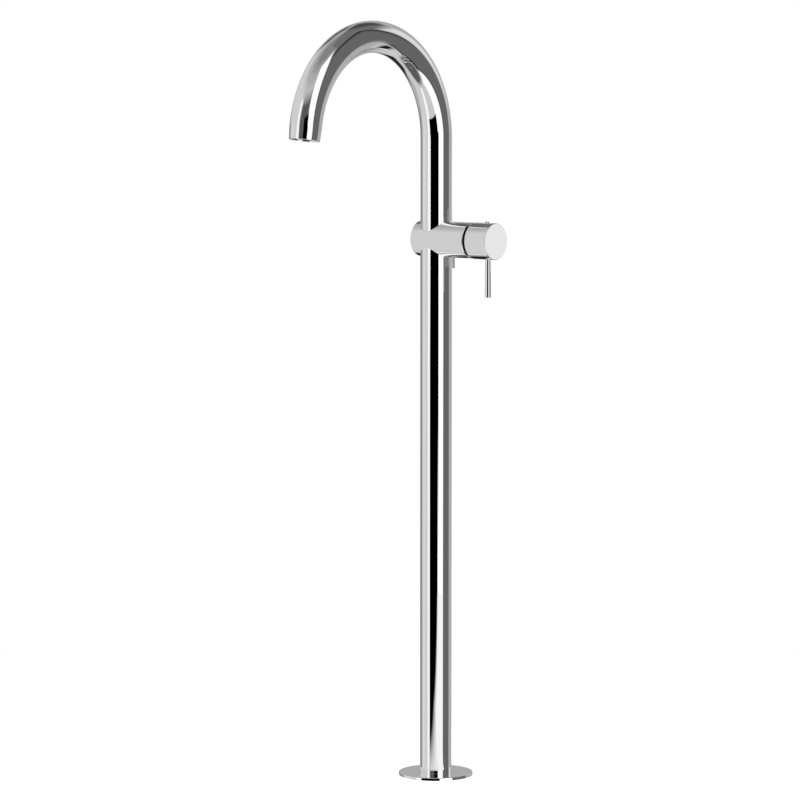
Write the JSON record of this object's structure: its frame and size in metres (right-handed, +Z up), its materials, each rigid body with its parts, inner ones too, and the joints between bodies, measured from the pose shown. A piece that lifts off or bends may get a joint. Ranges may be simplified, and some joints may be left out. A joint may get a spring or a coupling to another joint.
{
  "type": "floor-standing basin mixer",
  "caption": "Freestanding single-lever basin mixer: round floor-mounted column, cross body with side handle, and tall arched swivel spout.",
  "frame": {"origin": "on the column's axis at floor level, at the centre of the floor plate's bolt circle", "axes": "+Z up along the column; the spout reaches towards -Y; the handle's axis points along +X"},
  "size_m": [0.1708, 0.3842, 1.1502],
  "materials": {
    "polished_chrome": "polished chrome plate on brass",
    "brass": "machined",
    "stainless": "machined stainless steel",
    "black_rubber": "matt moulded rubber",
    "black_plastic": "matt moulded plastic",
    "white_plastic": "matt moulded plastic",
    "ceramic": "lapped ceramic",
    "grey_plastic": "matt moulded plastic",
    "copper": "drawn copper tube"
  },
  "bodies": {
    "stand": {"floor_plate": "stainless", "rosette": "polished_chrome", "column_tube": "polished_chrome", "column_set_screw": "stainless", "inlet_block": "brass", "inlet_block_ring": "stainless", "hot_supply_tube": "copper", "cold_supply_tube": "copper", "supply_o_rings": "black_rubber", "body_casting": "polished_chrome", "body_locking_pin": "stainless", "spout_nipple": "brass", "nipple_screws": "stainless", "nipple_o_rings": "black_rubber", "spout_slip_ring": "white_plastic", "cartridge_seals": "black_rubber", "cartridge_base": "grey_plastic", "fixed_disc": "ceramic", "cartridge_shell": "grey_plastic", "cartridge_nut": "brass", "core_cover": "black_plastic"},
    "rotor": {"cartridge_rotor": "grey_plastic", "pivot_pin": "stainless"},
    "disc": {"moving_disc": "ceramic", "disc_carrier": "white_plastic"},
    "handle": {"spindle": "brass", "hub": "polished_chrome", "lever": "polished_chrome", "hub_set_screw": "stainless", "index_plug": "polished_chrome"},
    "spout": {"spout_tube": "polished_chrome", "spout_bush": "brass", "spout_set_screw": "stainless", "outlet_insert": "polished_chrome", "aerator_housing": "polished_chrome", "aerator_gasket": "black_rubber", "aerator_insert": "white_plastic"}
  },
  "joints": [
    {"name": "spout_swivel", "type": "hinge", "parent": "stand", "child": "spout", "pos_m": [0, 0, 0.867], "axis": [0, 0, 1], "range_deg": [-60, 60]},
    {"name": "temperature_turn", "type": "hinge", "parent": "stand", "child": "rotor", "pos_m": [0.072, 0, 0.821], "axis": [1, 0, 0], "range_deg": [-45, 45]},
    {"name": "flow_tilt", "type": "hinge", "parent": "rotor", "child": "handle", "pos_m": [0.072, 0, 0.821], "axis": [0, -1, 0], "range_deg": [0, 9]},
    {"name": "disc_slide", "type": "slide", "parent": "rotor", "child": "disc", "axis": [0, 0, -1], "range_m": [0, 0.0035]}
  ],
  "couplings": [
    {"joint": "disc_slide", "follows": "flow_tilt", "m_per_rad": 0.0218}
  ]
}
